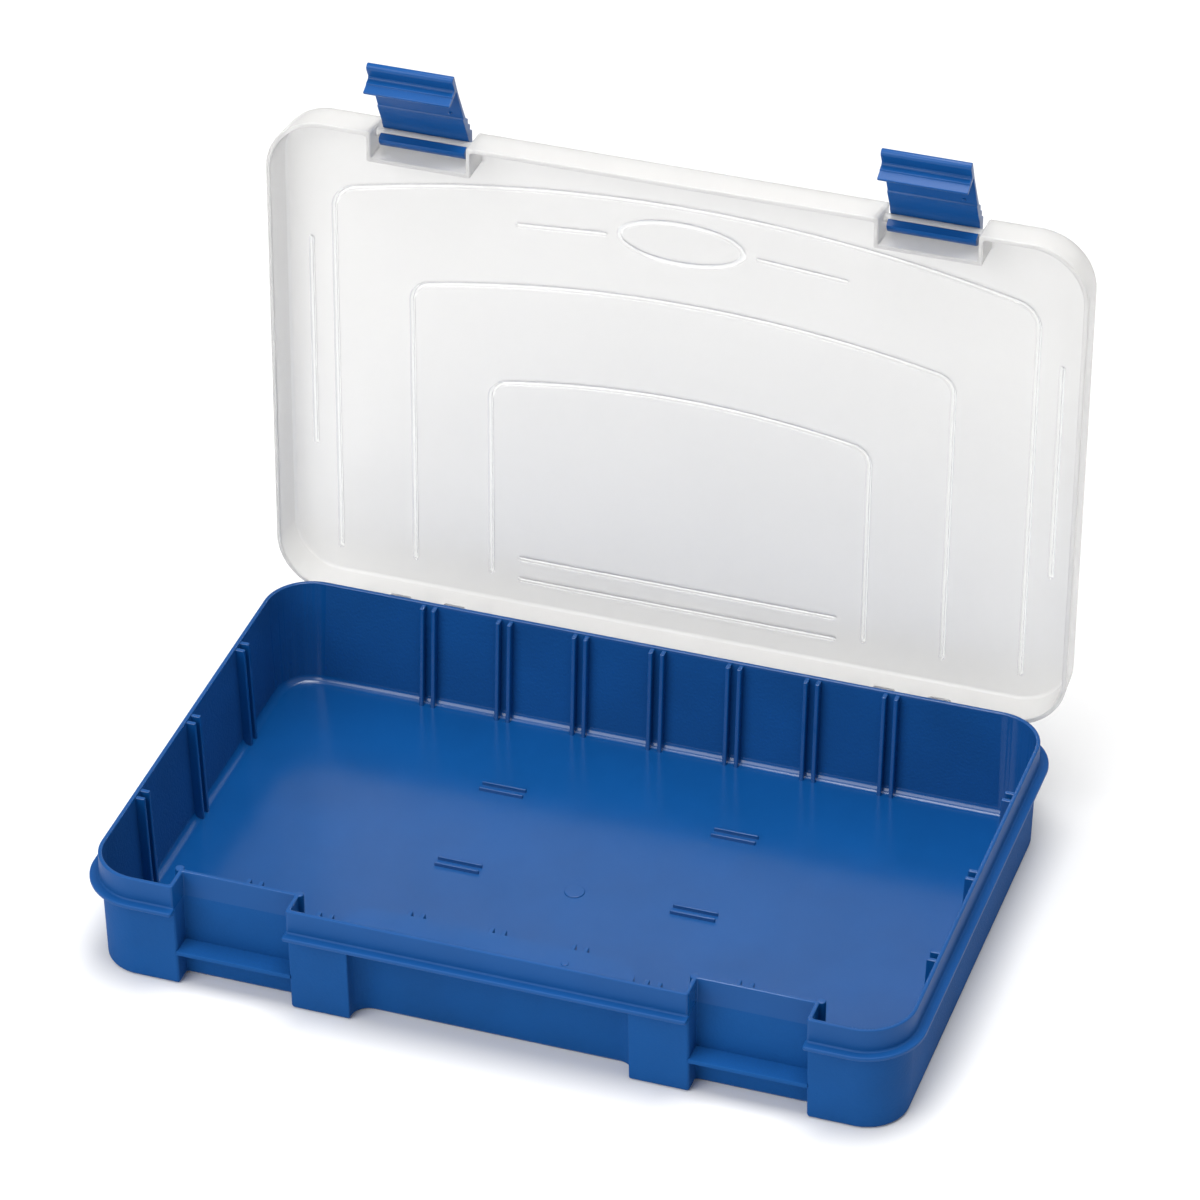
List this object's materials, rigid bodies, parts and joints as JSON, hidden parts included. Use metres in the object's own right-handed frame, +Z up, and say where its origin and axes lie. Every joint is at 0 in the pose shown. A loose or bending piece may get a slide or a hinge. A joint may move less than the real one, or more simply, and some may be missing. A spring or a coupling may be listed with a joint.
{
  "type": "fishing tackle box",
  "caption": "Flat rectangular tackle box: a ribbed open tray, a hinged clear lid that stands upright when open, and snap latches on its front edge.",
  "frame": {"origin": "middle of the tray's underside, on the surface it rests on", "axes": "+X along the hinge, to the right seen from the latches; +Y from the latches to the hinge; +Z up"},
  "size_m": [0.2764, 0.1994, 0.2438],
  "materials": {
    "blue_plastic": "semi-gloss moulded polypropylene",
    "clear_plastic": "lightly frosted clear polypropylene"
  },
  "bodies": {
    "tray": {"tray": "blue_plastic"},
    "lid": {"lid": "clear_plastic"},
    "latch_left": {"latch_left": "blue_plastic"},
    "latch_right": {"latch_right": "blue_plastic"}
  },
  "joints": [
    {"name": "lid_hinge", "type": "hinge", "parent": "tray", "child": "lid", "pos_m": [0, 0.0916, 0.0324], "axis": [1, 0, 0], "range_deg": [0, 91]},
    {"name": "latch_left_pivot", "type": "hinge", "parent": "lid", "child": "latch_left", "pos_m": [-0.0853, 0.10202, 0.21135], "axis": [1, 0, 0], "range_deg": [-36, 64]},
    {"name": "latch_right_pivot", "type": "hinge", "parent": "lid", "child": "latch_right", "pos_m": [0.0853, 0.10202, 0.21135], "axis": [1, 0, 0], "range_deg": [-36, 64]}
  ]
}
